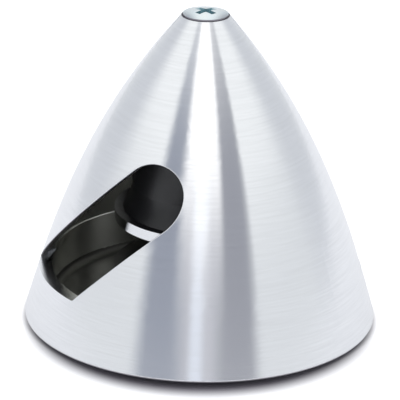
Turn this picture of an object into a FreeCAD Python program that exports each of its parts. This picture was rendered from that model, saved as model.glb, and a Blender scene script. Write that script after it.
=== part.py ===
"""Turned aluminium propeller spinner for a two-blade propeller.

Five pieces that come apart on a bench: the hollow ogive cone with its two slanted blade
slots, the cup-shaped backplate whose rim carries the cone, the propeller nut and its
washer inside, and the countersunk screw in the nose that draws the cone down onto the rim.

Millimetres. The axis of spin is Z, +Z points at the nose, and z = 0 is the rear hub
face that bears on the engine's drive washer. One blade slot opens towards -Y and the
other, turned half a turn about Z, towards +Y.
"""
import FreeCAD, Part
import os
import Sketcher

# Every driving size: (name, value, what it is).
SIZES = [
    # Outer shape, shared by the backplate's rim and the cone.
    ("base_radius", 28.5, "outer radius at the rim's lower edge"),
    ("shell_height", 50.4, "rim's lower edge to the nose flat"),
    ("skirt_taper", 14.26, "radius lost over the whole height by the skirt's own lean"),
    ("belly_drop", 3.19, "radius lost over the whole height by the belly's curve"),
    # Backplate.
    ("foot_height", 1.0, "rear hub face, proud of the rim's lower edge"),
    ("foot_radius", 16.0, "radius of the rear hub face"),
    ("rim_height", 8.3, "rim's lower edge to the joint with the cone"),
    ("rim_wall", 2.0, "thickness of the rim at the joint"),
    ("lip_height", 1.0, "spigot that centres the cone, above the joint"),
    ("floor_thickness", 2.2, "backplate's floor, above the rim's lower edge"),
    ("boss_inset", 14.5, "boss that the propeller's hub sits on, inside the base radius"),
    ("shaft_bore_radius", 4.05, "hole that the engine's shaft passes through"),
    ("rim_break", 0.35, "rounded lower edge of the rim"),
    ("cup_fillet", 1.2, "fillet in the corners of the cup's floor"),
    # Cone.
    ("wall", 1.5, "thickness of the shell, square to its surface"),
    ("nose_thickness", 9.4, "nose flat to the flat end of the cavity"),
    ("nose_land", 0.15, "flat ring round the countersink in the nose"),
    ("lip_clearance", 0.05, "radial gap between the spigot and the cone"),
    ("screw_clearance", 0.2, "radial gap round the screw in the nose"),
    ("slot_radius", 5.3, "half the width of a blade slot"),
    ("slot_across", 31.66, "centre of the slot's round end, sideways from the rim's -X edge"),
    ("slot_reach", 25.5, "centre of the slot's round end, above the rim's lower edge"),
    ("slot_slant", 44.3, "degrees between the slot's straight sides and the rim"),
    ("slot_break", 0.15, "rounded outer edge of a blade slot"),
    # Washer and propeller nut.
    ("hub_gap", 8.25, "room for the propeller's hub, boss to washer"),
    ("washer_inset", 14.5, "washer, which bears on the propeller, inside the base radius"),
    ("washer_thickness", 1.7, "washer under the nut"),
    ("washer_land", 1.4, "ring of the washer left bare outside the nut's foot"),
    ("foot_ledge", 1.4, "nut's foot, outside its round body"),
    ("flare_height", 4.0, "curve from the nut's foot up to its round body"),
    ("nut_drop", 1.325, "top of the nut, below the middle between its foot and the nose"),
    ("nut_chamfer", 1.0, "chamfer round the top of the body"),
    ("shaft_thread_radius", 3.4, "tapped hole for the engine's shaft"),
    ("shaft_thread_depth", 6.55, "depth of that tapped hole"),
    ("tommy_radius", 2.0, "cross hole for the bar that turns the nut"),
    ("tommy_height", 6.0, "centre of the cross hole, below the top of the body"),
    ("thread_gap", 0.05, "radial gap between the screw and the nut's thread crests"),
    # Nose screw.
    ("head_radius", 3.6, "edge of the screw's countersunk head"),
    ("head_sink", 0.1, "top of the head's cone, below the nose flat"),
    ("head_rim", 0.4, "straight edge of the head, above its cone"),
    ("head_rise", 0.45, "crown of the head, above its straight edge"),
    ("screw_radius", 2.0, "outside of the screw's thread"),
    ("screw_setback", 0.5, "screw's point, clear of the end of the shaft's thread"),
    ("screw_point", 0.5, "chamfer at the screw's point"),
    ("recess_reach", 1.95, "cross recess, centre to the end of an arm"),
    ("recess_width", 1.05, "width of an arm of the cross recess"),
    ("recess_turn", 10.0, "degrees that the cross recess is turned, clockwise from above"),
    ("recess_depth", 2.0, "cross recess, below the crown"),
    ("recess_tip", 0.45, "cross recess at its bottom, centre to the end of an arm"),
]

SHEET = "Sizes"


def s(name):
    """Write a size's name as an expression reads it."""
    return f"{SHEET}.{name}"


# Heights that several pieces share, from z = 0.
EDGE = s("foot_height")
JOINT = f"({EDGE} + {s('rim_height')})"
LIP_TOP = f"({JOINT} + {s('lip_height')})"
NOSE = f"({EDGE} + {s('shell_height')})"
CEILING = f"({NOSE} - {s('nose_thickness')})"
WASHER = f"({JOINT} + {s('hub_gap')})"
NUT = f"({WASHER} + {s('washer_thickness')})"
NUT_TOP = f"(({NUT} + {NOSE}) / 2 - {s('nut_drop')})"
THREAD_END = f"({NUT} + {s('shaft_thread_depth')})"
HEAD_EDGE = f"({NOSE} - {s('head_sink')})"
SCREW_END = f"({THREAD_END} + {s('screw_setback')})"

# Radii that several features share.
MOUTH = f"({s('head_radius')} + {s('head_sink')})"
NOSE_RADIUS = f"({MOUTH} + {s('nose_land')})"
BOSS_RADIUS = f"({s('base_radius')} - {s('boss_inset')})"
WASHER_RADIUS = f"({s('base_radius')} - {s('washer_inset')})"
NUT_FOOT_RADIUS = f"({WASHER_RADIUS} - {s('washer_land')})"
NUT_RADIUS = f"({NUT_FOOT_RADIUS} - {s('foot_ledge')})"

# The shell's lean, from the rim's edge to the nose, splits its wall into a shift inwards
# and a shift downwards.
LEAN = f"atan(({s('base_radius')} - {NOSE_RADIUS}) / {s('shell_height')})"
WALL_IN = f"({s('wall')} * cos({LEAN}))"
WALL_DOWN = f"({s('wall')} * sin({LEAN}))"

# Share of the height at which the ogive is cut for each piece.
AT_JOINT = f"({s('rim_height')} / {s('shell_height')})"
AT_LIP = f"(({s('rim_height')} + {s('lip_height')} + {WALL_DOWN}) / {s('shell_height')})"
AT_CEILING = f"(1 - ({s('nose_thickness')} - {WALL_DOWN}) / {s('shell_height')})"


def ogive_pole(a, b, c):
    """Radius of a pole of the ogive, from three shares of its height.

    The radius falls with the share q of the height as a cubic,
    base - taper q - drop q^2 - rest q^3, and this is that cubic's polar form:
    a stretch from u to v has the poles (u,u,u), (u,u,v), (u,v,v) and (v,v,v).
    """
    rest = f"({s('base_radius')} - {NOSE_RADIUS} - {s('skirt_taper')} - {s('belly_drop')})"
    first = f"(({a}) + ({b}) + ({c})) / 3"
    second = f"(({a}) * ({b}) + ({b}) * ({c}) + ({c}) * ({a})) / 3"
    third = f"({a}) * ({b}) * ({c})"
    taper = f"{s('skirt_taper')} * {first}"
    drop = f"{s('belly_drop')} * {second}"
    return f"({s('base_radius')} - {taper} - {drop} - {rest} * {third})"


def ogive_stretch(u, v, inwards="0", downwards="0"):
    """Four poles (radius, height) of the ogive between the height shares u and v."""
    poles = []
    for shares in ((u, u, u), (u, u, v), (u, v, v), (v, v, v)):
        radius = f"({ogive_pole(*shares)} - {inwards})"
        mean = " + ".join(f"({share})" for share in shares)
        height = f"({EDGE} + {s('shell_height')} * ({mean}) / 3 - {downwards})"
        poles.append((radius, height))
    return poles


def make_sheet(doc):
    """Put the driving sizes in a spreadsheet, one named row each."""
    sheet = doc.addObject("Spreadsheet::Sheet", SHEET)
    for row, (name, value, note) in enumerate(SIZES, start=1):
        sheet.set(f"A{row}", name)
        sheet.set(f"B{row}", str(value))
        sheet.set(f"C{row}", note)
        sheet.setAlias(f"B{row}", name)
    doc.recompute()
    return sheet


def origin_feature(body, role):
    """Find one of a body's own origin planes or axes."""
    for feature in body.Origin.OriginFeatures:
        if feature.Role == role:
            return feature
    raise ValueError(f"{body.Label} has no {role}")


def make_body(doc, label):
    """Start a piece with its own name and a placement at the shared origin."""
    body = doc.addObject("PartDesign::Body", label)
    body.Label = label
    body.Placement = FreeCAD.Placement()
    return body


def make_sketch(body, name, plane="XZ_Plane", height=None):
    """Attach a sketch to one of the body's origin planes, lifted by a height if given."""
    sketch = body.newObject("Sketcher::SketchObject", name)
    sketch.AttachmentSupport = [(origin_feature(body, plane), "")]
    sketch.MapMode = "FlatFace"
    if height is not None:
        sketch.setExpression("AttachmentOffset.Base.z", height)
    return sketch


def number(obj, expression):
    """Value that an expression has now, for a sketch's first drawing."""
    value = obj.evalExpression(expression)
    return float(getattr(value, "Value", value))


def pin_point(sketch, geometry, end, place):
    """Tie one point of a sketch to two expressions."""
    for kind, expression in zip(("DistanceX", "DistanceY"), place):
        value = number(sketch, expression)
        index = sketch.addConstraint(Sketcher.Constraint(kind, -1, 1, geometry, end, value))
        sketch.setExpression(f"Constraints[{index}]", expression)


def draw_curve(sketch, poles):
    """Add a cubic curve whose four poles are tied to expressions."""
    points = [FreeCAD.Vector(number(sketch, x), number(sketch, y), 0) for x, y in poles]
    circles = []
    for point in points:
        circle = Part.Circle(point, FreeCAD.Vector(0, 0, 1), 1.0)
        circles.append(sketch.addGeometry(circle, True))
    curve = Part.BSplineCurve(points, None, None, False, 3, None, False)
    spline = sketch.addGeometry(curve, False)
    for index, circle in enumerate(circles):
        sketch.addConstraint(Sketcher.Constraint("Weight", circle, 1.0))
        align = "InternalAlignment:Sketcher::BSplineControlPoint"
        sketch.addConstraint(Sketcher.Constraint(align, circle, 3, spline, index))
        pin_point(sketch, circle, 3, poles[index])
    return spline


def draw_line(sketch, start, end):
    """Add a straight edge whose first point is tied to expressions."""
    first = FreeCAD.Vector(number(sketch, start[0]), number(sketch, start[1]), 0)
    last = FreeCAD.Vector(number(sketch, end[0]), number(sketch, end[1]), 0)
    return sketch.addGeometry(Part.LineSegment(first, last), False)


def draw_outline(sketch, steps):
    """Draw a closed outline of corners (x, y) and curves (lists of four poles).

    A curve stands for itself and both its ends. Every corner is tied to its own
    expressions, and each edge's end is joined to the next one's start.
    """
    edges = []
    for index, step in enumerate(steps):
        following = steps[(index + 1) % len(steps)]
        target = following[0] if isinstance(following, list) else following
        if isinstance(step, list):
            edges.append((draw_curve(sketch, step), None))
            edges.append((draw_line(sketch, step[-1], target), None))
        else:
            edges.append((draw_line(sketch, step, target), step))
    for (edge, corner), (following, _) in zip(edges, edges[1:] + edges[:1]):
        sketch.addConstraint(Sketcher.Constraint("Coincident", edge, 2, following, 1))
        if corner is not None:
            pin_point(sketch, edge, 1, corner)


def revolve(body, sketch, name, kind="PartDesign::Revolution"):
    """Turn a sketch a whole turn about the axis of spin."""
    feature = body.newObject(kind, name)
    feature.Profile = sketch
    feature.ReferenceAxis = (sketch, ["V_Axis"])
    feature.Angle = 360
    sketch.Document.recompute()
    return feature


def cut_both_sides(body, sketch, name):
    """Cut a sketch on XZ outwards to -Y, and repeat it half a turn round."""
    before = body.Shape.Volume
    pocket = body.newObject("PartDesign::Pocket", name)
    pocket.Profile = sketch
    pocket.Type = "ThroughAll"
    pocket.Reversed = True
    pattern = body.newObject("PartDesign::PolarPattern", f"{name}_pair")
    pattern.Originals = [pocket]
    pattern.Axis = (origin_feature(body, "Z_Axis"), [""])
    pattern.Angle = 360
    pattern.Occurrences = 2
    body.Tip = pattern
    body.Document.recompute()
    if not body.Shape.Volume < before:
        raise RuntimeError(f"{name} cuts nothing")
    return pattern


def draw_slot(sketch, end):
    """Draw the slanted blade slot: a round end above, open down to the height end."""
    slant = f"{s('slot_slant')} * 1 deg"
    centre = (f"({s('slot_across')} - {s('base_radius')})", f"({EDGE} + {s('slot_reach')})")
    across = (f"{s('slot_radius')} * sin({slant})", f"{s('slot_radius')} * cos({slant})")
    low_side = (f"{centre[0]} + {across[0]}", f"{centre[1]} - {across[1]}")
    high_side = (f"{centre[0]} - {across[0]}", f"{centre[1]} + {across[1]}")
    low_end = (f"{low_side[0]} - ({low_side[1]} - {end}) / tan({slant})", end)
    high_end = (f"{high_side[0]} - ({high_side[1]} - {end}) / tan({slant})", end)

    radius = number(sketch, s("slot_radius"))
    middle = FreeCAD.Vector(number(sketch, centre[0]), number(sketch, centre[1]), 0)
    turn = FreeCAD.Units.Quantity(f"{number(sketch, s('slot_slant'))} deg").getValueAs("rad").Value
    quarter = FreeCAD.Units.Quantity("90 deg").getValueAs("rad").Value
    circle = Part.Circle(middle, FreeCAD.Vector(0, 0, 1), radius)
    arc = sketch.addGeometry(Part.ArcOfCircle(circle, turn - quarter, turn + quarter), False)
    low = draw_line(sketch, low_end, low_side)
    high = draw_line(sketch, high_side, high_end)
    foot = draw_line(sketch, high_end, low_end)

    join = [("Tangent", low, 2, arc, 1), ("Tangent", arc, 2, high, 1),
            ("Coincident", high, 2, foot, 1), ("Coincident", foot, 2, low, 1)]
    for kind, *ends in join:
        sketch.addConstraint(Sketcher.Constraint(kind, *ends))
    sketch.addConstraint(Sketcher.Constraint("Horizontal", foot))
    sketch.addConstraint(Sketcher.Constraint("Parallel", low, high))
    pin_point(sketch, arc, 3, centre)
    for kind, edge, value, expression in (
        ("Radius", arc, radius, s("slot_radius")),
        ("Angle", low, turn, slant),
    ):
        index = sketch.addConstraint(Sketcher.Constraint(kind, edge, value))
        sketch.setExpression(f"Constraints[{index}]", expression)
    height = Sketcher.Constraint("DistanceY", -1, 1, low, 1, number(sketch, end))
    index = sketch.addConstraint(height)
    sketch.setExpression(f"Constraints[{index}]", end)


def edges_at(shape, test):
    """Names of a shape's edges that pass a test on the points between their ends."""
    names = []
    for index, edge in enumerate(shape.Edges, start=1):
        inner_points = edge.discretize(Number=9)[1:-1]
        if all(test(point) for point in inner_points):
            names.append(f"Edge{index}")
    if not names:
        raise RuntimeError("no edge matches")
    return names


def ring_test(radius, height, slack=0.02):
    """Test for a circle about the axis, by its radius and height."""
    def test(point):
        off = abs(FreeCAD.Vector(point.x, point.y, 0).Length - radius)
        return off < slack and abs(point.z - height) < slack
    return test


def skin_test(sketch, slack=0.02):
    """Test for edges that run up the ogive's skin, between its joint and its nose."""
    low = number(sketch, JOINT)
    high = number(sketch, NOSE)
    edge = number(sketch, EDGE)
    tall = number(sketch, s("shell_height"))

    def test(point):
        share = f"{(point.z - edge) / tall:.9f}"
        skin = number(sketch, ogive_pole(share, share, share))
        off = abs(FreeCAD.Vector(point.x, point.y, 0).Length - skin)
        return off < slack and low + slack < point.z < high - slack
    return test


def round_edges(body, name, names, size, kind="PartDesign::Fillet", prop="Radius"):
    """Round or chamfer named edges of a body by an expression's size."""
    base = body.Tip
    feature = body.newObject(kind, name)
    feature.Base = (base, names)
    feature.setExpression(prop, size)
    body.Document.recompute()
    return feature


def make_backplate(doc):
    """Cup that closes the spinner behind the propeller and carries the cone."""
    body = make_body(doc, "backplate")
    outer = ogive_stretch("0", AT_JOINT)
    joint_radius = ogive_pole(AT_JOINT, AT_JOINT, AT_JOINT)
    inner = f"({joint_radius} - {s('rim_wall')})"
    spigot = f"({inner} + {s('rim_wall')} / 2)"
    floor = f"({EDGE} + {s('floor_thickness')})"
    bore = s("shaft_bore_radius")

    sketch = make_sketch(body, "backplate_section")
    draw_outline(sketch, [
        (bore, "0"),
        (s("foot_radius"), "0"),
        (s("foot_radius"), EDGE),
        outer,
        (spigot, JOINT),
        (spigot, LIP_TOP),
        (inner, LIP_TOP),
        (inner, floor),
        (BOSS_RADIUS, floor),
        (BOSS_RADIUS, JOINT),
        (bore, JOINT),
    ])
    revolve(body, sketch, "turned_backplate")

    gap = make_sketch(body, "blade_gap")
    draw_slot(gap, JOINT)
    cut_both_sides(body, gap, "lip_cut_for_blade")

    floor_height = number(gap, floor)
    corners = []
    for radius in (number(gap, inner), number(gap, BOSS_RADIUS)):
        corners += edges_at(body.Shape, ring_test(radius, floor_height))
    round_edges(body, "cup_corners", corners, s("cup_fillet"))
    rim = edges_at(body.Shape, ring_test(number(gap, s("base_radius")), number(gap, EDGE)))
    round_edges(body, "rim_edge", rim, s("rim_break"))
    return body


def make_cone(doc):
    """Hollow ogive with two slanted blade slots and a countersunk nose."""
    body = make_body(doc, "spinner_cone")
    outer = ogive_stretch(AT_JOINT, "1")
    inner = ogive_stretch(AT_LIP, AT_CEILING, WALL_IN, WALL_DOWN)
    inner.reverse()
    joint_radius = ogive_pole(AT_JOINT, AT_JOINT, AT_JOINT)
    socket = f"({joint_radius} - {s('rim_wall')} / 2 + {s('lip_clearance')})"
    hole = f"({s('screw_radius')} + {s('screw_clearance')})"

    sketch = make_sketch(body, "cone_section")
    draw_outline(sketch, [
        (socket, JOINT),
        outer,
        (MOUTH, NOSE),
        (hole, f"{NOSE} - ({MOUTH} - {hole})"),
        (hole, CEILING),
        inner,
        (socket, LIP_TOP),
    ])
    revolve(body, sketch, "turned_cone")

    slot = make_sketch(body, "blade_slot")
    draw_slot(slot, f"({JOINT} - {s('lip_height')})")
    cut_both_sides(body, slot, "milled_blade_slot")
    round_edges(body, "slot_edges", edges_at(body.Shape, skin_test(slot)), s("slot_break"))
    return body


def make_washer(doc):
    """Flat washer between the propeller's hub and the nut."""
    body = make_body(doc, "propeller_washer")
    sketch = make_sketch(body, "washer_section")
    draw_outline(sketch, [
        (s("shaft_bore_radius"), WASHER),
        (WASHER_RADIUS, WASHER),
        (WASHER_RADIUS, NUT),
        (s("shaft_bore_radius"), NUT),
    ])
    revolve(body, sketch, "turned_washer")
    return body


def make_nut(doc):
    """Round nut that clamps the propeller and takes the nose screw."""
    body = make_body(doc, "propeller_nut")
    thread = s("shaft_thread_radius")
    tap = f"({s('screw_radius')} + {s('thread_gap')})"
    ledge = s("foot_ledge")
    flare = [
        (NUT_FOOT_RADIUS, NUT),
        (f"({NUT_FOOT_RADIUS} - 0.32 * {ledge})", f"({NUT} + 0.25 * {s('flare_height')})"),
        (f"({NUT_RADIUS} + 0.07 * {ledge})", f"({NUT} + 0.6 * {s('flare_height')})"),
        (NUT_RADIUS, f"({NUT} + {s('flare_height')})"),
    ]

    sketch = make_sketch(body, "nut_section")
    draw_outline(sketch, [
        (thread, NUT),
        flare,
        (NUT_RADIUS, NUT_TOP),
        (tap, NUT_TOP),
        (tap, THREAD_END),
        (thread, THREAD_END),
    ])
    revolve(body, sketch, "turned_nut")

    cross = make_sketch(body, "tommy_hole", "YZ_Plane")
    height = f"{NUT_TOP} - {s('tommy_height')}"
    centre = FreeCAD.Vector(0, number(cross, height), 0)
    radius = number(cross, s("tommy_radius"))
    circle = cross.addGeometry(Part.Circle(centre, FreeCAD.Vector(0, 0, 1), radius), False)
    pin_point(cross, circle, 3, ("0", height))
    index = cross.addConstraint(Sketcher.Constraint("Radius", circle, radius))
    cross.setExpression(f"Constraints[{index}]", s("tommy_radius"))
    before = body.Shape.Volume
    drilled = body.newObject("PartDesign::Pocket", "cross_drilled")
    drilled.Profile = cross
    drilled.Type = "ThroughAll"
    drilled.Midplane = True
    doc.recompute()
    if not body.Shape.Volume < before:
        raise RuntimeError("the cross hole cuts nothing")

    top = ring_test(number(cross, NUT_RADIUS), number(cross, NUT_TOP))
    names = edges_at(body.Shape, top)
    round_edges(body, "top_chamfer", names, s("nut_chamfer"), "PartDesign::Chamfer", "Size")
    return body


def cross_points(reach, width):
    """Twelve corners of a turned cross, as expressions, going round it."""
    half = f"({width} / 2)"
    arm = [(reach, f"-{half}"), (reach, half), (half, half)]
    turn = f"{s('recess_turn')} * 1 deg"
    points = []
    for quarter in range(4):
        for x, y in arm:
            for _ in range(quarter):
                x, y = f"(-{y})", x
            points.append((f"({x}) * cos({turn}) + ({y}) * sin({turn})",
                           f"({y}) * cos({turn}) - ({x}) * sin({turn})"))
    return points


def make_screw(doc):
    """Raised countersunk screw with a cross recess."""
    body = make_body(doc, "nose_screw")
    radius = s("screw_radius")
    point = s("screw_point")
    neck = f"({HEAD_EDGE} - ({s('head_radius')} - {radius}))"
    rim = f"({HEAD_EDGE} + {s('head_rim')})"
    crown = f"({rim} + {s('head_rise')})"

    sketch = make_sketch(body, "screw_section")
    # A cubic with these poles follows a spherical cap's profile: level at the crown, and
    # leaving the edge at the slope of the sphere.
    lift = f"({s('head_rise')} * 2 / 3)"
    cap = [
        (s("head_radius"), rim),
        (f"({s('head_radius')} * 2 / 3)", f"({rim} + {lift})"),
        (f"({s('head_radius')} / 3)", crown),
        ("0", crown),
    ]
    draw_outline(sketch, [
        ("0", SCREW_END),
        (f"({radius} - {point})", SCREW_END),
        (radius, f"({SCREW_END} + {point})"),
        (radius, neck),
        (s("head_radius"), HEAD_EDGE),
        cap,
    ])
    revolve(body, sketch, "turned_screw")

    before = body.Shape.Volume
    sections = []
    for name, reach, width, height in (
        ("recess_mouth", s("recess_reach"), s("recess_width"), crown),
        ("recess_bottom", s("recess_tip"), f"({s('recess_width')} / 2)",
         f"({crown} - {s('recess_depth')})"),
    ):
        section = make_sketch(body, name, "XY_Plane", height)
        draw_outline(section, cross_points(reach, width))
        sections.append(section)
    doc.recompute()
    recess = body.newObject("PartDesign::SubtractiveLoft", "cross_recess")
    recess.Profile = sections[0]
    recess.Sections = [sections[1]]
    recess.Ruled = True
    doc.recompute()
    if not body.Shape.Volume < before:
        raise RuntimeError("the cross recess cuts nothing")
    return body


def check(doc, bodies):
    """Stop unless every object is computed and every piece is one valid solid."""
    for obj in doc.Objects:
        if "Invalid" in obj.State or "Error" in obj.State:
            raise RuntimeError(f"{obj.Label} is in state {obj.State}")
    for body in bodies:
        shape = body.Shape
        if shape.isNull() or not shape.isValid() or len(shape.Solids) != 1:
            raise RuntimeError(f"{body.Label} isn't one valid solid")


def main():
    doc = FreeCAD.newDocument("propeller_spinner")
    make_sheet(doc)
    bodies = [make_backplate(doc), make_cone(doc), make_washer(doc), make_nut(doc),
              make_screw(doc)]
    doc.recompute()
    check(doc, bodies)
    os.makedirs("parts", exist_ok=True)
    for body in bodies:
        body.Shape.exportStep(f"parts/{body.Label}.step")
        box = body.Shape.BoundBox
        print(f"{body.Label}: {body.Shape.Volume:.1f} mm3,",
              f"z {box.ZMin:.2f} to {box.ZMax:.2f}, x {box.XMin:.2f} to {box.XMax:.2f}")


main()
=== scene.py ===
# %% [markdown]
# # A turned aluminium propeller spinner
# A spinner is the hollow pointed cap in front of an aeroplane's propeller. This one is for a
# two-blade propeller: a cone with two slanted slots that the blades pass through, a backplate
# that the cone sits on, a washer and a nut inside that hold the propeller, and a countersunk
# screw in the nose that bites into the nut and draws the cone down. The shapes come from the
# CAD frame, in metres, with the axis of spin on Z.
# The lesson is mostly about metal: what turning, milling and plating leave on a surface, and
# how a studio's lights and cards draw the bands that make it read as metal.

# %% Load the frame
import bpy
import math
from mathutils import Matrix, Vector


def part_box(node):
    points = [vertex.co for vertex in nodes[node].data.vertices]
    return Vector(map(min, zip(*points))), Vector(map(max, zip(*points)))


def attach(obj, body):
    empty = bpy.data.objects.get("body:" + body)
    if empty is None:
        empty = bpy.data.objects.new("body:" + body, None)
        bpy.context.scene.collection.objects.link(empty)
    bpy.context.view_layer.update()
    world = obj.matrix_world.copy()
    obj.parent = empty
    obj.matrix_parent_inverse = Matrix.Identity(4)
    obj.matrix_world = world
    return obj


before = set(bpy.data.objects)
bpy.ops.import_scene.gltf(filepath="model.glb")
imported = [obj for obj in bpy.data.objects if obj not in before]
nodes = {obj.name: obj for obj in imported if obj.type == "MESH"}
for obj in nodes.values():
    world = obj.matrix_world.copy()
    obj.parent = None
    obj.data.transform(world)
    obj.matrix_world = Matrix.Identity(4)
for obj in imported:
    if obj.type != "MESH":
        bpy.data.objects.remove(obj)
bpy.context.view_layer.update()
MM = 0.001
print("nodes:", sorted(nodes))

# %% [markdown]
# ## Two small helpers
# A designer writes colours as sRGB hex, but a shader works in linear light, so one function
# turns the one into the other. The second adds a node, sets its properties and its plain
# inputs, and joins the inputs that another node feeds.

# %% Colour and node helpers
def linear(hex_colour):
    """Turn an sRGB hex colour into the linear colour that a shader reads."""
    channels = [int(hex_colour[i:i + 2], 16) / 255 for i in (1, 3, 5)]
    return tuple(c / 12.92 if c <= 0.04045 else ((c + 0.055) / 1.055) ** 2.4
                 for c in channels) + (1.0,)


def add_node(tree, kind, inputs=None, **settings):
    """Add a node; an input is either a value or another node's output socket."""
    node = tree.nodes.new(kind)
    for name, value in settings.items():
        setattr(node, name, value)
    for name, value in (inputs or {}).items():
        if isinstance(value, bpy.types.NodeSocket):
            tree.links.new(value, node.inputs[name])
        else:
            node.inputs[name].default_value = value
    return node


def start_material(name):
    """Make an empty node material and its output node."""
    material = bpy.data.materials.new(name)
    material.use_nodes = True
    material.node_tree.nodes.clear()
    output = material.node_tree.nodes.new("ShaderNodeOutputMaterial")
    return material, material.node_tree, output


print("aluminium grey in linear light:", [round(c, 3) for c in linear("#f2f3f5")])

# %% [markdown]
# ## Turned aluminium
# The cone and backplate are turned from bar on a lathe. The tool leaves grooves that run
# round the axis, far finer than the eye can split, so a reflection stays sharp round the cone
# but smears up and down it: bright upright bands. That's an anisotropic surface. The tangent
# runs round Z, and a quarter turn of the anisotropy stretches the gloss across the grooves.
# Here and there the tool rubbed or a chip dragged, which leaves faint short arcs that are a
# little brighter or duller. They're drawn by noise that is squeezed hard along Z.

# %% Turned aluminium
def turned_metal(name, colour, roughness, anisotropy, streaks):
    """A lathe-turned metal with faint arcs round Z."""
    material, tree, output = start_material(name)
    place = add_node(tree, "ShaderNodeTexCoord").outputs["Object"]
    # Arcs a third of a millimetre wide and some 8 mm long.
    fine_place = add_node(tree, "ShaderNodeMapping", {
        "Vector": place, "Scale": (120, 120, 3000)})
    fine = add_node(tree, "ShaderNodeTexNoise", {
        "Vector": fine_place.outputs["Vector"], "Scale": 1.0, "Detail": 3.0,
        "Roughness": 0.6})
    # Broader zones, 2 mm wide, where the tool cut a little cleaner.
    broad_place = add_node(tree, "ShaderNodeMapping", {
        "Vector": place, "Scale": (40, 40, 500)})
    broad = add_node(tree, "ShaderNodeTexNoise", {
        "Vector": broad_place.outputs["Vector"], "Scale": 1.0, "Detail": 2.0})
    arcs = add_node(tree, "ShaderNodeMix", {
        "Factor": 0.2, "A": fine.outputs["Fac"], "B": broad.outputs["Fac"]},
        data_type="FLOAT")
    shade = add_node(tree, "ShaderNodeMapRange", {
        "Value": arcs.outputs["Result"], "From Min": 0.3, "From Max": 0.7,
        "To Min": 1.0 - streaks, "To Max": 1.0})
    tint = add_node(tree, "ShaderNodeMix", {
        "Factor": 1.0, "A": linear(colour), "B": shade.outputs["Result"]},
        data_type="RGBA", blend_type="MULTIPLY")
    dulled = add_node(tree, "ShaderNodeMapRange", {
        "Value": arcs.outputs["Result"], "From Min": 0.3, "From Max": 0.7,
        "To Min": roughness * 1.12, "To Max": roughness * 0.88})
    grooves = add_node(tree, "ShaderNodeBump", {
        "Height": fine.outputs["Fac"], "Strength": 0.25, "Distance": 0.02 * MM})
    around = add_node(tree, "ShaderNodeTangent", direction_type="RADIAL", axis="Z")
    metal = add_node(tree, "ShaderNodeBsdfPrincipled", {
        "Base Color": tint.outputs["Result"], "Metallic": 1.0,
        "Roughness": dulled.outputs["Result"], "Anisotropic": anisotropy,
        "Anisotropic Rotation": 0.25, "Tangent": around.outputs["Tangent"],
        "Normal": grooves.outputs["Normal"]})
    tree.links.new(metal.outputs["BSDF"], output.inputs["Surface"])
    return material


turned_aluminium = turned_metal("turned aluminium", "#f2f3f5", 0.15, 0.93, 0.07)
print("made", turned_aluminium.name)

# %% [markdown]
# ## Bored aluminium
# The inside of the cone and the upright wall of the backplate's cup are bored with a long thin
# bar that flexes and chatters. It's the same bright metal a little rougher, so it still mirrors
# the light that comes in through a slot. The cup's floor, fillet and boss lie deep under the
# washer, and their dark colour is painted shade. They're rougher too, so light that reaches them
# soon dies out.

# %% Bored aluminium
bored_aluminium = turned_metal("bored aluminium", "#eeeee8", 0.2, 0.93, 0.1)
# The cup's dark colour is painted shade. Its higher roughness is real.
cup_painted_shade = turned_metal("aluminium in the cup, painted dark for shade", "#6a6a66", 0.5, 0.2, 0.2)
print("made", bored_aluminium.name, "and", cup_painted_shade.name)

# %% [markdown]
# ## Milled slot walls
# An end mill as wide as the slot ploughs it through the cone's wall, so each wall carries fine
# straight marks that run through the wall, along Y, where the cutter's teeth came round. The
# marks are noise squeezed across the slot and drawn out along Y.

# %% Milled aluminium
def milled_metal(name, colour, roughness):
    """Aluminium cut by the side of an end mill whose axis lay along Y."""
    material, tree, output = start_material(name)
    place = add_node(tree, "ShaderNodeTexCoord").outputs["Object"]
    # Tooth marks a quarter of a millimetre apart.
    marks_place = add_node(tree, "ShaderNodeMapping", {
        "Vector": place, "Scale": (4000, 150, 4000)})
    marks = add_node(tree, "ShaderNodeTexNoise", {
        "Vector": marks_place.outputs["Vector"], "Scale": 1.0, "Detail": 2.0})
    shade = add_node(tree, "ShaderNodeMapRange", {
        "Value": marks.outputs["Fac"], "From Min": 0.3, "From Max": 0.7,
        "To Min": 0.8, "To Max": 1.0})
    tint = add_node(tree, "ShaderNodeMix", {
        "Factor": 1.0, "A": linear(colour), "B": shade.outputs["Result"]},
        data_type="RGBA", blend_type="MULTIPLY")
    ridges = add_node(tree, "ShaderNodeBump", {
        "Height": marks.outputs["Fac"], "Strength": 0.4, "Distance": 0.03 * MM})
    metal = add_node(tree, "ShaderNodeBsdfPrincipled", {
        "Base Color": tint.outputs["Result"], "Metallic": 1.0, "Roughness": roughness,
        "Normal": ridges.outputs["Normal"]})
    tree.links.new(metal.outputs["BSDF"], output.inputs["Surface"])
    return material


milled_aluminium = milled_metal("milled aluminium", "#d2d2d2", 0.3)
# The slot's sharp edge is broken with a fine file, which leaves it rough. Its darker grey is
# painted shade along the edge.
filed_edge_shade = milled_metal("filed aluminium edge, painted dark for shade", "#86868a", 0.5)
print("made", milled_aluminium.name, "and", filed_edge_shade.name)
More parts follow.
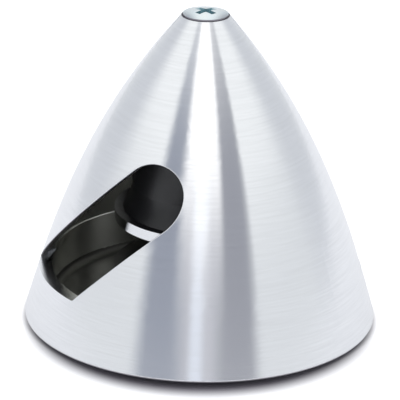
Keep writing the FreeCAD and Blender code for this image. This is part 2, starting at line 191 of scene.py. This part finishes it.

# %% [markdown]
# ## Oil-blackened steel
# The nut is turned steel that was heated and dropped in oil. The aluminium washer's upper face
# is painted with the same dark skin as painted shade. It's thin and a little glossy, and it
# reflects like oil rather than like metal, so it isn't metallic here. Handling rubs it through
# to grey steel, drawn as small faint spots.

# %% Blackened steel
def blackened_metal(name, colour, worn_colour):
    """Steel with an oil-black skin that is rubbed through in small spots."""
    material, tree, output = start_material(name)
    place = add_node(tree, "ShaderNodeTexCoord").outputs["Object"]
    rings_place = add_node(tree, "ShaderNodeMapping", {
        "Vector": place, "Scale": (90, 90, 2600)})
    rings = add_node(tree, "ShaderNodeTexNoise", {
        "Vector": rings_place.outputs["Vector"], "Scale": 1.0, "Detail": 2.0})
    smudge = add_node(tree, "ShaderNodeTexNoise", {
        "Vector": place, "Scale": 300.0, "Detail": 4.0, "Roughness": 0.7})
    # Rubbed spots about 1 mm across.
    rubbed = add_node(tree, "ShaderNodeMapRange", {
        "Value": smudge.outputs["Fac"], "From Min": 0.66, "From Max": 0.74,
        "To Min": 0.0, "To Max": 0.5})
    tint = add_node(tree, "ShaderNodeMix", {
        "Factor": rubbed.outputs["Result"], "A": linear(colour), "B": linear(worn_colour)},
        data_type="RGBA")
    dulled = add_node(tree, "ShaderNodeMapRange", {
        "Value": smudge.outputs["Fac"], "From Min": 0.3, "From Max": 0.7,
        "To Min": 0.28, "To Max": 0.42})
    grooves = add_node(tree, "ShaderNodeBump", {
        "Height": rings.outputs["Fac"], "Strength": 0.4, "Distance": 0.03 * MM})
    skin = add_node(tree, "ShaderNodeBsdfPrincipled", {
        "Base Color": tint.outputs["Result"], "Metallic": rubbed.outputs["Result"],
        "Roughness": dulled.outputs["Result"], "Normal": grooves.outputs["Normal"]})
    tree.links.new(skin.outputs["BSDF"], output.inputs["Surface"])
    return material


blackened_steel = blackened_metal("oil-blackened steel and painted shade", "#242426", "#8a8a8c")
print("made", blackened_steel.name)

# %% [markdown]
# ## Bright zinc plating
# The screw is pressed steel with a thin coat of zinc, dipped in a clear chromate that leaves a
# cold blue cast. Plating doesn't hide the dies' fine texture, so the gloss has a slight
# orange-peel break, and the colour drifts a little between blue and straw.

# %% Zinc plate
def zinc_metal(name, colour, drift_colour, roughness):
    """Bright zinc plating with a drifting tint."""
    material, tree, output = start_material(name)
    place = add_node(tree, "ShaderNodeTexCoord").outputs["Object"]
    # The tint drifts over about 2 mm, and the peel is a fifth of a millimetre.
    drift = add_node(tree, "ShaderNodeTexNoise", {
        "Vector": place, "Scale": 500.0, "Detail": 2.0})
    tint = add_node(tree, "ShaderNodeMix", {
        "Factor": drift.outputs["Fac"], "A": linear(colour), "B": linear(drift_colour)},
        data_type="RGBA")
    peel = add_node(tree, "ShaderNodeTexNoise", {
        "Vector": place, "Scale": 5000.0, "Detail": 2.0})
    skin = add_node(tree, "ShaderNodeBump", {
        "Height": peel.outputs["Fac"], "Strength": 0.15, "Distance": 0.02 * MM})
    metal = add_node(tree, "ShaderNodeBsdfPrincipled", {
        "Base Color": tint.outputs["Result"], "Metallic": 1.0, "Roughness": roughness,
        "Normal": skin.outputs["Normal"]})
    tree.links.new(metal.outputs["BSDF"], output.inputs["Surface"])
    return material


zinc_plate = zinc_metal("zinc-plated steel", "#dcebf4", "#f4f5f0", 0.16)
# Plating is thin and duller where it can't be reached. The cross recess and the head's upright
# rim are also painted darker: painted shade in the recess and in the crevice round the head.
recess_shade_zinc = zinc_metal("zinc in the recess, painted dark for shade", "#b4ccd1", "#9ab4bb", 0.28)
rim_shade_zinc = zinc_metal("zinc on the rim, painted dark for shade", "#a8a4ac", "#7c7a80", 0.3)
print("made", zinc_plate.name, recess_shade_zinc.name, rim_shade_zinc.name)

# %% [markdown]
# ## Put the finishes on
# One turned part can carry several finishes. How deep a face lies under the cone's outer skin
# tells them apart: on the skin it was turned, just under it the slot's edge was filed, within
# the wall's thickness it was milled, and deeper it was bored. The skin's radius falls with
# height as a cubic.

# %% The outer skin
FOOT_HEIGHT = 1.0 * MM     # the rear hub face stands this far below the rim's lower edge
SHELL_HEIGHT = 50.4 * MM   # the rim's lower edge to the flat of the nose
BASE_RADIUS = 28.5 * MM
# What the radius loses over the whole height, by the skirt's lean, the belly and the nose.
SKIRT_TAPER, BELLY_DROP, NOSE_DROP = 14.26 * MM, 3.19 * MM, 7.2 * MM


def skin_radius(height):
    """Radius of the spinner's outer skin, in metres, at a height above the floor."""
    share = (height - FOOT_HEIGHT) / SHELL_HEIGHT
    return BASE_RADIUS - SKIRT_TAPER * share - BELLY_DROP * share ** 2 - NOSE_DROP * share ** 3


def depth(face):
    """How far a face's centre lies inside the outer skin, in metres."""
    x, y, z = face.center
    return skin_radius(z) - math.hypot(x, y)


print("skin radius at the rim and the nose, mm:", round(skin_radius(FOOT_HEIGHT) / MM, 2),
      round(skin_radius(FOOT_HEIGHT + SHELL_HEIGHT) / MM, 2))

# %% Dress a piece
def dress(node, slot, *materials, choose=None):
    """Give a node its finishes; choose picks a finish for a face. The slot argument is not used.
    """
    mesh = nodes[node].data
    mesh.materials.clear()
    for material in materials:
        mesh.materials.append(material)
    if choose:
        for face in mesh.polygons:
            face.material_index = choose(face)
    counts = [sum(f.material_index == i for f in mesh.polygons) for i in range(len(materials))]
    print(node, {m.name: c for m, c in zip(materials, counts)})


# %% Finishes of the cone
SKIN_DEPTH = 0.03 * MM     # no deeper than this a face is the skin itself
FILED_DEPTH = 0.16 * MM    # the slot's edge is rounded by 0.15 mm
WALL_DEPTH = 1.45 * MM     # the cone's wall is 1.5 mm thick


def cone_finish(face):
    """0 turned, 1 bored, 2 milled, 3 the slot's filed edge, painted darker as shade."""
    inside = depth(face)
    if inside > WALL_DEPTH:
        return 1
    if inside < SKIN_DEPTH:
        return 0
    if inside < FILED_DEPTH:
        return 3
    return 2


dress("spinner_cone", "turned_aluminium", turned_aluminium, bored_aluminium,
      milled_aluminium, filed_edge_shade, choose=cone_finish)

# %% Finishes of the backplate
RIM_DEPTH = 1.9 * MM       # the rim is 2 mm thick, and the cup lies inside it
CUP_BOTTOM = 1.5 * MM      # lower than this is the backplate's underside
CUP_WALL = 20 * MM         # the boss is well inside this radius, the cup's wall outside it
UPRIGHT = 0.05             # a wall's normal leans up or down by less than this


def backplate_finish(face):
    """0 turned, 1 bored on the cup's upright wall, 2 painted dark as shade on its floor, fillet
    and boss.
    """
    x, y, z = face.center
    if depth(face) < RIM_DEPTH or z <= CUP_BOTTOM:
        return 0
    if math.hypot(x, y) > CUP_WALL and abs(face.normal.z) < UPRIGHT:
        return 1
    return 2


dress("backplate", "turned_aluminium", turned_aluminium, bored_aluminium, cup_painted_shade,
      choose=backplate_finish)

# %% Finishes of the washer and the nut
# The washer is turned aluminium. Its upper face takes the dark skin as painted shade.
dress("propeller_washer", "turned_aluminium", turned_aluminium, blackened_steel,
      choose=lambda face: 1 if face.normal.z > 0.5 else 0)
dress("propeller_nut", "blackened_steel", blackened_steel)

# %% Finishes of the nose screw
CROWN, CROWN_RISE, HEAD_RADIUS = 52.15 * MM, 0.45 * MM, 3.6 * MM
RIM_INSIDE, RIM_BOTTOM = 3.5 * MM, 51.2 * MM         # only the head's rim is past both
RECESS_REACH, RECESS_BOTTOM = 2.2 * MM, 49.5 * MM    # the cross recess lies within both
UNDER_CROWN = 0.05 * MM    # the recess starts this far under the crown's curve
STEEP = 0.3                # the rim's normal leans up or down by less than this


def screw_finish(face):
    """0 bright plate, 1 painted shade in the recess, 2 painted shade on the head's upright rim.
    """
    x, y, z = face.center
    out = math.hypot(x, y)
    crown_here = CROWN - CROWN_RISE * (out / HEAD_RADIUS) ** 2
    if out > RIM_INSIDE and z > RIM_BOTTOM and abs(face.normal.z) < STEEP:
        return 2
    if out < RECESS_REACH and RECESS_BOTTOM < z < crown_here - UNDER_CROWN:
        return 1
    return 0


dress("nose_screw", "zinc_plated_steel", zinc_plate, recess_shade_zinc, rim_shade_zinc,
      choose=screw_finish)

# %% [markdown]
# ## The thread on the screw
# Between the nut and the nose the screw's shank is bare. Such a screw is threaded there, with
# 0.7 mm from crest to crest, and the frame carries it plain. A three-sided ring is put where
# the thread starts and the Screw modifier winds it round Z, one pitch up for each turn. The
# crests stand 0.17 mm proud of the plain shank, in open air, so the shank doesn't bury them.

# %% Wind the thread
PITCH, TURNS = 0.7 * MM, 10
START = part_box("propeller_nut")[1][2] + 0.4 * MM    # a little above the nut's top
RIDGE, RIDGE_CENTRE = 0.2 * MM, 1.97 * MM           # the ring's radius, and how far out it is
bpy.ops.object.select_all(action="DESELECT")
bpy.ops.mesh.primitive_circle_add(vertices=3, radius=RIDGE,
                                  location=(RIDGE_CENTRE, 0, START),
                                  rotation=(math.radians(90), math.radians(90), 0))
thread = bpy.context.object
thread.name = "screw_thread"
bpy.ops.object.transform_apply(location=True, rotation=True, scale=True)
wind = thread.modifiers.new("wind", "SCREW")
wind.axis, wind.screw_offset, wind.iterations = "Z", PITCH, TURNS
wind.steps = wind.render_steps = 32
wind.use_merge_vertices = False
bpy.ops.object.modifier_apply(modifier="wind")
bpy.ops.object.mode_set(mode="EDIT")
bpy.ops.mesh.select_all(action="SELECT")
bpy.ops.mesh.remove_doubles(threshold=0.001 * MM)
bpy.ops.mesh.fill_holes(sides=3)
bpy.ops.mesh.normals_make_consistent(inside=False)
bpy.ops.object.mode_set(mode="OBJECT")
bpy.ops.object.shade_smooth_by_angle(angle=math.radians(35))
thread.data.materials.append(zinc_plate)
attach(thread, "root")
print("thread", len(thread.data.polygons), "faces, from",
      round(min(v.co.z for v in thread.data.vertices) / MM, 2), "to",
      round(max(v.co.z for v in thread.data.vertices) / MM, 2), "mm, crest radius",
      round(max(math.hypot(v.co.x, v.co.y) for v in thread.data.vertices) / MM, 2))

# %% [markdown]
# ## The studio's walls
# A cone of turned metal is a mirror for whatever stands round it, squeezed into upright bands,
# so metal is lit by what it can see. The room is a white tent, drawn on the world's sky: each
# direction has an angle round Z, counted from the camera and positive to its right, and a
# height, from 0 at the horizon to 1 overhead. The cloth is a little brighter higher up.

# %% Tent
CAMERA_AZIMUTH = 35.0
LAMP = 1.3    # the brightest lamp, against white card

world = bpy.data.worlds.new("white tent")
bpy.context.scene.world = world
world.use_nodes = True
sky = world.node_tree
sky.nodes.clear()
direction = add_node(sky, "ShaderNodeTexCoord").outputs["Generated"]
turned = add_node(sky, "ShaderNodeMapping", {
    "Vector": direction, "Rotation": (0, 0, math.radians(90 - CAMERA_AZIMUTH))})
parts = add_node(sky, "ShaderNodeSeparateXYZ", {"Vector": turned.outputs["Vector"]})
height = parts.outputs["Z"]
radians = add_node(sky, "ShaderNodeMath", {0: parts.outputs["Y"], 1: parts.outputs["X"]},
                   operation="ARCTAN2")
angle = add_node(sky, "ShaderNodeMath", {0: radians.outputs["Value"], 1: 180 / math.pi},
                 operation="MULTIPLY").outputs["Value"]
cloth = add_node(sky, "ShaderNodeMapRange", {"Value": height, "From Min": 0.15, "From Max": 0.6},
                 interpolation_type="SMOOTHSTEP")
room = add_node(sky, "ShaderNodeMix", {
    "Factor": cloth.outputs["Result"], "A": linear("#cbced1"), "B": linear("#e4e6e7")},
    data_type="RGBA").outputs["Result"]
print("tent cloth hangs all round")

# %% [markdown]
# ## Cards and lamps
# Grey cards either side of the camera draw the two dark bands that make the cone read as
# metal, and a narrow strip lamp between them draws the bright line. Each is an upright strip
# with soft edges, which may lean outwards and narrow as it rises. Softer edges stand for a
# card that is nearer to the metal than the cloth behind it.

# %% Hang a card
def hang(centre, half_width, soft, colour, lean=0.0, narrow=0.0, bottom=-2.0, top=2.0, fade=0.1):
    """Hang a card or lamp in the tent; angles in degrees, bottom and top as heights."""
    global room
    middle = add_node(sky, "ShaderNodeMath", {0: height, 1: lean, 2: centre},
                      operation="MULTIPLY_ADD")
    apart = add_node(sky, "ShaderNodeMath", {0: angle, 1: middle.outputs["Value"]},
                     operation="SUBTRACT")
    # Ping-pong brings 190 degrees one way back to 170 the other way.
    away = add_node(sky, "ShaderNodeMath", {0: apart.outputs["Value"], 1: 180.0},
                    operation="PINGPONG")
    edge = add_node(sky, "ShaderNodeMath", {0: height, 1: narrow, 2: away.outputs["Value"]},
                    operation="MULTIPLY_ADD")
    across = add_node(sky, "ShaderNodeMapRange", {
        "Value": edge.outputs["Value"], "From Min": half_width + soft,
        "From Max": max(half_width - soft, 0.0)}, interpolation_type="SMOOTHSTEP")
    above = add_node(sky, "ShaderNodeMapRange", {
        "Value": height, "From Min": bottom - fade, "From Max": bottom + fade},
        interpolation_type="SMOOTHSTEP")
    below = add_node(sky, "ShaderNodeMapRange", {
        "Value": height, "From Min": top + fade, "From Max": top - fade},
        interpolation_type="SMOOTHSTEP")
    upright = add_node(sky, "ShaderNodeMath", {
        0: above.outputs["Result"], 1: below.outputs["Result"]}, operation="MULTIPLY")
    part = add_node(sky, "ShaderNodeMath", {
        0: across.outputs["Result"], 1: upright.outputs["Value"]}, operation="MULTIPLY")
    room = add_node(sky, "ShaderNodeMix", {
        "Factor": part.outputs["Value"], "A": room, "B": linear(colour)},
        data_type="RGBA").outputs["Result"]


# %% Cards behind the camera's back and beside it
# The big lamp overhead, and the grey cloth round the camera under it.
hang(0, 24, 14, "#ffffff", narrow=-14, bottom=0.34, fade=0.16)
hang(0, 18, 9, "#b0b1b8", top=0.46, fade=0.16)
# The left and right grey cards.
hang(-24, 15, 6.5, "#8b909c", lean=-14, narrow=5, top=0.84, fade=0.28)
hang(22, 13.5, 5, "#8e9098", lean=19, narrow=1.5, top=0.84, fade=0.28)
# The strip lamp between them, and its brighter upper half.
hang(-2, 4, 3, "#cdd2dc", top=0.34, fade=0.1)
hang(0, 4, 5, "#fafcff", narrow=-6, bottom=0.34, top=0.7, fade=0.12)
print("front cards hung")

# %% Cards at the sides and behind
for side in (-1, 1):
    hang(side * 120, 22, 16, "#c0c3c8")
    hang(side * 164, 7, 4, "#8f929a", top=0.8, fade=0.3)
print("side and back cards hung")

# %% [markdown]
# ## Light the room
# The camera itself sees plain white behind the spinner, where metal sees the tent. Light Path
# tells the two apart, and only metal and card get the lamp's extra strength.

# %% World output
seen = add_node(sky, "ShaderNodeLightPath")
level = add_node(sky, "ShaderNodeMapRange", {
    "Value": seen.outputs["Is Camera Ray"], "To Min": LAMP, "To Max": 1.0})
tent = add_node(sky, "ShaderNodeMix", {
    "Factor": seen.outputs["Is Camera Ray"], "A": room,
    "B": (1.0, 1.0, 1.0, 1.0)}, data_type="RGBA")
light = add_node(sky, "ShaderNodeBackground", {
    "Color": tent.outputs["Result"], "Strength": level.outputs["Result"]})
add_node(sky, "ShaderNodeOutputWorld", {"Surface": light.outputs["Background"]})
print("world nodes:", len(sky.nodes))

# %% [markdown]
# ## The floor
# The floor is white card. Soft light from all round gives hardly any shadow, so a painted
# shadow, a dark round patch with a feathered edge, lies on the card under the spinner. It lies a
# little towards the camera, so that it shows in front of the foot and grounds it. A thin dark
# line of painted shadow follows the foot all round. A glow for camera rays lifts the open card
# to white.

# %% Floor
# Painted shadow: where the dark patch and the thin dark line round the foot lie.
SHADOW_SHIFT = 3.5 * MM                            # how far the patch lies towards the camera
SHADOW_FROM, SHADOW_TO = 24.4 * MM, 29.8 * MM         # the patch fades out between these radii
SHADOW_LINE_FROM, SHADOW_LINE_TO = 27.2 * MM, 29.6 * MM       # and the line between these
GLOW = 0.6                                      # of the open card, to camera rays
GLOW_IN_MIRRORS = 0.25                          # share of it, or the foot would turn white
bpy.ops.object.select_all(action="DESELECT")
bpy.ops.mesh.primitive_circle_add(vertices=96, radius=2.0, fill_type="NGON")
floor = bpy.context.object
floor.name = "floor"
card, tree, output = start_material("white card floor")
place = add_node(tree, "ShaderNodeTexCoord").outputs["Object"]
forward = (SHADOW_SHIFT * math.sin(math.radians(CAMERA_AZIMUTH)),
           -SHADOW_SHIFT * math.cos(math.radians(CAMERA_AZIMUTH)), 0)
reach = add_node(tree, "ShaderNodeVectorMath", {0: place, 1: forward}, operation="DISTANCE")
past_painted_shadow = add_node(tree, "ShaderNodeMapRange", {
    "Value": reach.outputs["Value"], "From Min": SHADOW_FROM, "From Max": SHADOW_TO},
    interpolation_type="SMOOTHSTEP")
# The thin line of painted shadow keeps the foot grounded from behind as well.
from_axis = add_node(tree, "ShaderNodeVectorMath", {0: place}, operation="LENGTH")
past_foot = add_node(tree, "ShaderNodeMapRange", {
    "Value": from_axis.outputs["Value"], "From Min": SHADOW_LINE_FROM, "From Max": SHADOW_LINE_TO},
    interpolation_type="SMOOTHSTEP")
bare = add_node(tree, "ShaderNodeMath", {
    0: past_painted_shadow.outputs["Result"], 1: past_foot.outputs["Result"]}, operation="MINIMUM")
clear = add_node(tree, "ShaderNodeMath", {0: bare.outputs["Value"], 1: GLOW},
                 operation="MULTIPLY")
# The dark card colour is the painted shadow, the light one the open card.
ground = add_node(tree, "ShaderNodeMix", {
    "Factor": bare.outputs["Value"], "A": linear("#8c8890"), "B": linear("#f4f4f6")},
    data_type="RGBA")
paper = add_node(tree, "ShaderNodeBsdfDiffuse", {"Color": ground.outputs["Result"]})
seen = add_node(tree, "ShaderNodeLightPath")
mirrors = add_node(tree, "ShaderNodeMath", {
    0: seen.outputs["Is Glossy Ray"], 1: GLOW_IN_MIRRORS}, operation="MULTIPLY")
eye = add_node(tree, "ShaderNodeMath", {
    0: seen.outputs["Is Camera Ray"], 1: mirrors.outputs["Value"]}, operation="MAXIMUM")
lift = add_node(tree, "ShaderNodeMath", {
    0: clear.outputs["Value"], 1: eye.outputs["Value"]}, operation="MULTIPLY")
glow = add_node(tree, "ShaderNodeEmission", {
    "Color": (1.0, 1.0, 1.0, 1.0), "Strength": lift.outputs["Value"]})
both = add_node(tree, "ShaderNodeAddShader", {
    0: paper.outputs["BSDF"], 1: glow.outputs["Emission"]})
tree.links.new(both.outputs["Shader"], output.inputs["Surface"])
floor.data.materials.append(card)
print("floor", [round(d, 2) for d in floor.dimensions])

# %% [markdown]
# ## Camera
# A long lens from far off keeps the cone's sides straight and its foot a flat ellipse, as in a
# catalogue picture. The camera looks down on it by about 21 degrees and is rolled by about one.

# %% Camera
CAMERA_ELEVATION, CAMERA_ROLL = 21.38, 1.23                    # degrees
AIM_SIDEWAYS, AIM_HEIGHT = -0.274 * MM, 20.22 * MM             # the point it looks at
LENS, SENSOR, CAMERA_DISTANCE = 255.4, 36, 456 * MM            # lens and sensor in millimetres
azimuth, elevation, roll = (
    math.radians(d) for d in (CAMERA_AZIMUTH, CAMERA_ELEVATION, CAMERA_ROLL))
back = Vector((math.sin(azimuth) * math.cos(elevation),
               -math.cos(azimuth) * math.cos(elevation), math.sin(elevation)))
sideways = Vector((math.cos(azimuth), math.sin(azimuth), 0))
target = sideways * AIM_SIDEWAYS + Vector((0, 0, AIM_HEIGHT))
camera_data = bpy.data.cameras.new("studio camera")
camera = bpy.data.objects.new("studio camera", camera_data)
bpy.context.scene.collection.objects.link(camera)
camera_data.lens = LENS
camera_data.sensor_width = SENSOR
camera_data.clip_start, camera_data.clip_end = 0.01, 10
turn = back.to_track_quat("Z", "Y").to_matrix() @ Matrix.Rotation(roll, 3, "Z")
camera.matrix_world = Matrix.Translation(target + back * CAMERA_DISTANCE) @ turn.to_4x4()
bpy.context.scene.camera = camera
print("camera", round(camera_data.lens, 1), "mm, from", [round(c, 3) for c in camera.location])

# %% [markdown]
# ## Colour management
# The Standard view transform shows each colour as it was written.

# %% Colour management
bpy.context.scene.view_settings.view_transform = "Standard"
